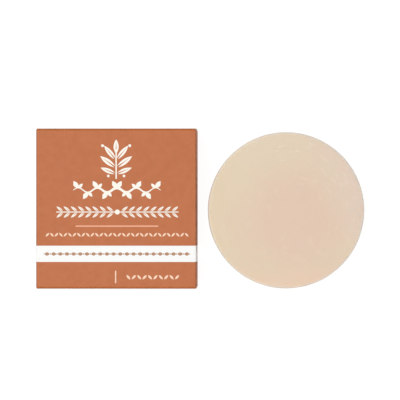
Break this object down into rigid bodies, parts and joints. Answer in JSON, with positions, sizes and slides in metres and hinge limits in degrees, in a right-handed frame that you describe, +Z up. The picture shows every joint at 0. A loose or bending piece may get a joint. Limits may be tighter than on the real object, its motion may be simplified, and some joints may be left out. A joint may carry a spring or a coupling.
{
  "type": "shaving soap puck with carton",
  "caption": "Round cast soap puck with rounded rims, lying beside the square tuck-end folding carton it is sold in, whose end flaps, lips and dust flaps fold open.",
  "frame": {"origin": "centre of the footprint of the carton and the puck together, on the surface that both lie on", "axes": "+X runs from the carton to the puck, +Y is the top of the carton's print, +Z is up, out of the printed front"},
  "size_m": [0.1256, 0.0612, 0.024],
  "materials": {
    "printed_board": "satin",
    "bare_board": "matte",
    "adhesive": "satin",
    "soap": "satin"
  },
  "bodies": {
    "carton": {"front_panel": "printed_board", "back_panel": "printed_board", "left_side_panel": "printed_board", "right_side_panel": "printed_board", "glue_flap": "bare_board", "glue_seam": "adhesive"},
    "top_tuck": {"top_tuck_flap": "printed_board"},
    "top_lip": {"top_tuck_lip": "printed_board"},
    "top_dust_left": {"top_dust_flap_left": "printed_board"},
    "top_dust_right": {"top_dust_flap_right": "printed_board"},
    "bottom_tuck": {"bottom_tuck_flap": "printed_board"},
    "bottom_lip": {"bottom_tuck_lip": "printed_board"},
    "bottom_dust_left": {"bottom_dust_flap_left": "printed_board"},
    "bottom_dust_right": {"bottom_dust_flap_right": "printed_board"},
    "puck": {"soap_puck": "soap"}
  },
  "joints": [
    {"name": "top_tuck_hinge", "type": "hinge", "parent": "carton", "child": "top_tuck", "pos_m": [-0.03215, 0.0303, 0.02365], "axis": [1, 0, 0], "range_deg": [0, 180]},
    {"name": "top_lip_fold", "type": "hinge", "parent": "top_tuck", "child": "top_lip", "pos_m": [-0.03215, 0.0303, 0.00115], "axis": [1, 0, 0], "range_deg": [0, 90]},
    {"name": "top_dust_hinge_left", "type": "hinge", "parent": "carton", "child": "top_dust_left", "pos_m": [-0.06245, 0.0298, 0.012], "axis": [0, 0, 1], "range_deg": [0, 90]},
    {"name": "top_dust_hinge_right", "type": "hinge", "parent": "carton", "child": "top_dust_right", "pos_m": [-0.00185, 0.0298, 0.012], "axis": [0, 0, -1], "range_deg": [0, 90]},
    {"name": "bottom_tuck_hinge", "type": "hinge", "parent": "carton", "child": "bottom_tuck", "pos_m": [-0.03215, -0.0303, 0.02365], "axis": [-1, 0, 0], "range_deg": [0, 180]},
    {"name": "bottom_lip_fold", "type": "hinge", "parent": "bottom_tuck", "child": "bottom_lip", "pos_m": [-0.03215, -0.0303, 0.00115], "axis": [-1, 0, 0], "range_deg": [0, 90]},
    {"name": "bottom_dust_hinge_left", "type": "hinge", "parent": "carton", "child": "bottom_dust_left", "pos_m": [-0.06245, -0.0298, 0.012], "axis": [0, 0, -1], "range_deg": [0, 90]},
    {"name": "bottom_dust_hinge_right", "type": "hinge", "parent": "carton", "child": "bottom_dust_right", "pos_m": [-0.00185, -0.0298, 0.012], "axis": [0, 0, 1], "range_deg": [0, 90]},
    {"name": "puck_lift", "type": "slide", "parent": "carton", "child": "puck", "axis": [0, 0, 1], "range_m": [0, 0.07]}
  ],
  "couplings": [
    {"joint": "top_lip_fold", "follows": "top_tuck_hinge", "ratio": 0.5},
    {"joint": "top_dust_hinge_left", "follows": "top_tuck_hinge", "ratio": 0.5},
    {"joint": "top_dust_hinge_right", "follows": "top_tuck_hinge", "ratio": 0.5},
    {"joint": "bottom_lip_fold", "follows": "bottom_tuck_hinge", "ratio": 0.5},
    {"joint": "bottom_dust_hinge_left", "follows": "bottom_tuck_hinge", "ratio": 0.5},
    {"joint": "bottom_dust_hinge_right", "follows": "bottom_tuck_hinge", "ratio": 0.5}
  ]
}
